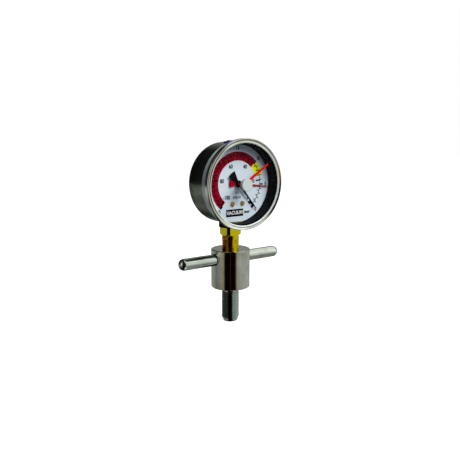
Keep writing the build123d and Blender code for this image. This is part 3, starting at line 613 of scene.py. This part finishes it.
def build_scale(bm):
    """The scale's arc, with inches of mercury outside it and kilopascals inside it."""
    line_inner, line_outer = scale_radius - line_half, scale_radius + line_half
    add_arc(bm, line_inner, line_outer, zero_angle, inch_angle(full_scale), upper_layer)
    for inches in range(int(full_scale) + 1):
        labelled = inches % 5 == 0
        outer = band_outer if labelled else scale_radius + minor_length
        width = major_tick if labelled else minor_tick
        add_tick(bm, inch_angle(inches), scale_radius, outer, width)
    for kpa in range(0, 101, 4):
        labelled = kpa % 20 == 0
        inner = band_inner if labelled else scale_radius - minor_length
        width = major_tick if labelled else minor_tick
        add_tick(bm, kpa_angle(kpa), inner, scale_radius, width)
    # heavy blocks beside zero, outside and inside the scale's arc
    add_tick(bm, block_angle, scale_radius + block_gap_outside, band_outer, block_tick)
    add_tick(bm, block_angle, band_inner, scale_radius - block_gap_inside, block_tick)


def build_figures(bm):
    """Figures of both scales and the two units."""
    for inches in range(0, int(full_scale) + 1, 5):
        x, up = on_dial(outer_figure_radius, inch_angle(inches))
        add_text(bm, str(inches), outer_figure, x / MM, up / MM)
    for kpa in range(0, 101, 20):
        figure = "-100" if kpa == 100 else str(kpa)
        radius = inner_figure_radius if kpa else inner_zero_radius
        x, up = on_dial(radius, kpa_angle(kpa))
        add_text(bm, figure, inner_figure if kpa else inner_zero, x / MM, up / MM)
    add_text(bm, "kPa", height=2.3, across=-0.3, up=-7.0, weight=0.06)
    add_text(bm, "inHg vac", height=1.9, across=-0.4, up=-10.6, weight=0.05)


# the black box with the plain word, the yellow line at its right end and the small word beside it
name_left, name_right = -10.8, 5.8
name_low, name_high = -25.9, -20.0
name_middle = (name_left + name_right) / 2
name_level = (name_low + name_high) / 2
edge_start, edge_end = name_right + 0.15, name_right + 0.6
side_word_middle = 9.7
side_word_level = name_level + 0.2


def build_name_box(bm):
    add_box(bm, name_left, name_right, name_low, name_high, lower_layer)


def build_name_text(bm):
    add_text(bm, "VACUUM", 2.8, name_middle, name_level, squeeze=0.92, weight=0.1)


def build_side_text(bm):
    add_text(bm, "gauge", 2.2, side_word_middle, side_word_level, squeeze=0.8)


def build_edge_line(bm):
    add_box(bm, edge_start, edge_end, name_low, name_high, lower_layer)


for name, build, material in (
    ("dial_red_band", build_red_band, ink_maroon),
    ("dial_yellow_band", build_yellow_band, ink_yellow),
    ("dial_scale", build_scale, ink_black),
    ("dial_figures", build_figures, ink_black),
    ("dial_name_box", build_name_box, ink_black),
    ("dial_name_text", build_name_text, ink_white),
    ("dial_side_text", build_side_text, ink_black),
    ("dial_edge_line", build_edge_line, ink_yellow),
):
    mesh_piece(name, build, material, "housing")

# ------------------------------------------------------------------ floor
floor_half = 3.0
floor_gap = 0.1 * MM
floor_glow = 0.85
floor_height = model_low.z - floor_gap
floor_mesh = bpy.data.meshes.new("floor")
floor_mesh.from_pydata(
    [
        (-floor_half, -floor_half, floor_height),
        (floor_half, -floor_half, floor_height),
        (floor_half, floor_half, floor_height),
        (-floor_half, floor_half, floor_height),
    ],
    [],
    [(0, 1, 2, 3)],
)
floor = bpy.data.objects.new("floor", floor_mesh)
scene.collection.objects.link(floor)
floor_paint = Paint("floor_paint")
floor_paint.set("Base Color", rgb(0.9, 0.9, 0.9))
floor_paint.set("Roughness", 0.9)
floor_paint.set("Emission Color", rgb(1.0, 1.0, 1.0))
floor_paint.set("Emission Strength", floor_glow)
floor_mesh.materials.append(floor_paint.material)
# the floor shows the model's faint shadow, but gives the model no light and no reflection
floor.visible_glossy = False
floor.visible_diffuse = False

# ------------------------------------------------------------------ camera
camera_azimuth = math.radians(34.96)
camera_height = math.radians(9.98)
camera_distance = 0.4462
camera_lens = 42.82
camera_sensor = 36.0
camera_clip = 0.01
# the point that the camera looks at: a height on the stem's axis, then steps in the view
aim_height = 0.040
aim_right, aim_up = -0.00032, 0.006743
back = Vector(
    (
        -math.sin(camera_azimuth) * math.cos(camera_height),
        -math.cos(camera_azimuth) * math.cos(camera_height),
        math.sin(camera_height),
    )
)
right = Vector((math.cos(camera_azimuth), -math.sin(camera_azimuth), 0))
upward = back.cross(right)
aim = Vector((0, 0, aim_height)) + right * aim_right + upward * aim_up
camera_data = bpy.data.cameras.new("camera")
camera_data.lens = camera_lens
camera_data.sensor_width = camera_sensor
camera_data.clip_start = camera_clip
camera = bpy.data.objects.new("camera", camera_data)
camera.location = aim + back * camera_distance
camera.rotation_euler = back.to_track_quat("Z", "Y").to_euler()
scene.collection.objects.link(camera)
scene.camera = camera

# ------------------------------------------------------------------ studio light
# The room: a white backdrop for the camera and a soft even light for matt surfaces. Reflections
# see a tent instead: five walls, one above the other, whose light changes with the bearing. A
# bearing is in degrees, 0 toward the camera and growing to its right. Toward the camera all five
# walls are almost black, apart from a thin red-brown line, and metals show that as dark bands.
world = bpy.data.worlds.new("studio")
scene.world = world
world.use_nodes = True
room = Graph(world.node_tree)
room.tree.nodes.clear()
direction = room.tree.nodes.new("ShaderNodeTexCoord").outputs["Generated"]
dx, dy, dz = room.split(direction)
ahead = room.along(dx, dy, (-math.sin(camera_azimuth), -math.cos(camera_azimuth)))
aside = room.along(dx, dy, (math.cos(camera_azimuth), -math.sin(camera_azimuth)))
turn_share = room.maths("DIVIDE", room.maths("ARCTAN2", aside, ahead), 2 * math.pi)
share = room.maths("ADD", turn_share, 0.5)


def wall(stops):
    """One wall's light by bearing: stops of (bearing, red, green, blue), blended between."""
    node = room.add("ShaderNodeValToRGB", Fac=share)
    elements = node.color_ramp.elements
    while len(elements) < len(stops):
        elements.new(0.5)
    for element, (degrees, *colour) in zip(elements, stops):
        element.position = degrees / 360 + 0.5
        element.color = (*colour, 1)
    return node.outputs[0]


def grey(degrees, level):
    """A stop of nearly neutral light, very slightly green."""
    return (degrees, level, level * 1.03, level * 0.97)


top_wall = wall(
    (
        grey(-180, 0.01),
        grey(-100, 0.03),
        grey(-60, 0.06),
        grey(-36, 0.1),
        grey(-28, 0.003),
        grey(28, 0.003),
        grey(40, 0.9),
        grey(150, 0.9),
        grey(162, 0.6),
        grey(170, 0.01),
        grey(179, 0.01),
    )
)
high_wall = wall(
    (
        grey(-180, 0.3),
        grey(-155, 0.02),
        grey(-95, 0.02),
        (-82, 0.2, 0.1, 0.07),
        grey(-72, 0.3),
        grey(-50, 0.85),
        grey(-38, 0.6),
        grey(-30, 0.01),
        grey(44, 0.01),
        grey(54, 0.7),
        grey(72, 0.75),
        grey(79, 1.2),
        grey(86, 1.2),
        grey(96, 0.7),
        grey(113, 0.42),
        grey(130, 0.36),
        grey(155, 0.3),
        grey(179, 0.3),
    )
)
middle_wall = wall(
    (
        grey(-180, 0.3),
        grey(-130, 0.4),
        grey(-110, 0.34),
        grey(-92, 0.22),
        grey(-75, 0.28),
        grey(-55, 0.36),
        (-39, 0.36, 0.28, 0.12),
        grey(-34, 0.002),
        grey(-3, 0.001),
        (0, 0.09, 0.012, 0.008),
        grey(3, 0.001),
        grey(29, 0.002),
        (35, 0.32, 0.1, 0.03),
        grey(40, 0.4),
        grey(60, 0.48),
        grey(90, 0.45),
        grey(113, 0.48),
        grey(132, 0.5),
        grey(150, 0.34),
        grey(179, 0.3),
    )
)
bottom_wall = wall(
    (
        grey(-180, 0.01),
        grey(-100, 0.02),
        grey(-60, 0.03),
        grey(-30, 0.002),
        grey(26, 0.002),
        grey(38, 0.95),
        grey(68, 0.95),
        grey(76, 0.25),
        grey(179, 0.2),
    )
)
low_wall = wall(
    (
        grey(-180, 0.01),
        grey(-152, 0.04),
        grey(-136, 0.25),
        grey(-118, 0.05),
        grey(-60, 0.08),
        grey(-36, 0.08),
        grey(-30, 0.002),
        grey(27, 0.002),
        grey(38, 0.2),
        grey(108, 0.2),
        grey(128, 0.85),
        grey(168, 0.85),
        grey(175, 0.02),
        grey(179, 0.01),
    )
)


def height(degrees):
    """The Z of a direction at an elevation."""
    return math.sin(math.radians(degrees))


# from below upward: each wall, and the elevations in degrees between which it takes over
tent = bottom_wall
for next_wall, low, high in (
    (low_wall, -41, -35),
    (middle_wall, -32, -14),
    (high_wall, -9, -2),
    (top_wall, 36, 44),
):
    takeover = room.spread(dz, height(low), height(high), smooth=True)
    tent = room.blend(takeover, tent, next_wall)

rays = room.tree.nodes.new("ShaderNodeLightPath")
ambient = rgb(0.17, 0.19, 0.22)
backdrop = rgb(1.0, 1.0, 1.0)
room_light = room.blend(rays.outputs["Is Glossy Ray"], ambient, tent)
room_light = room.blend(rays.outputs["Is Camera Ray"], room_light, backdrop)
background = room.add("ShaderNodeBackground", Color=room_light)
room.add("ShaderNodeOutputWorld", Surface=background.outputs[0])

# The key light is large and high in front, so that the bezel shades the top of the dial. Metals
# reflect the tent and not this softbox.
key_direction = Vector((0.25, -1.0, 0.95))
key_distance = 1.3
key_size = 0.9
key_power = 22.0
gauge_middle = Vector((0, 0, gauge_centre))
key_light = bpy.data.lights.new("key_light", "AREA")
key_light.shape = "RECTANGLE"
key_light.size = key_size
key_light.size_y = key_size
key_light.energy = key_power
key_lamp = bpy.data.objects.new("key_light", key_light)
key_lamp.location = gauge_middle + key_direction.normalized() * key_distance
key_lamp.rotation_euler = (key_lamp.location - gauge_middle).to_track_quat("Z", "Y").to_euler()
key_lamp.visible_glossy = False
key_lamp.visible_camera = False
scene.collection.objects.link(key_lamp)

scene.view_settings.view_transform = "Standard"
scene.cycles.use_denoising = True
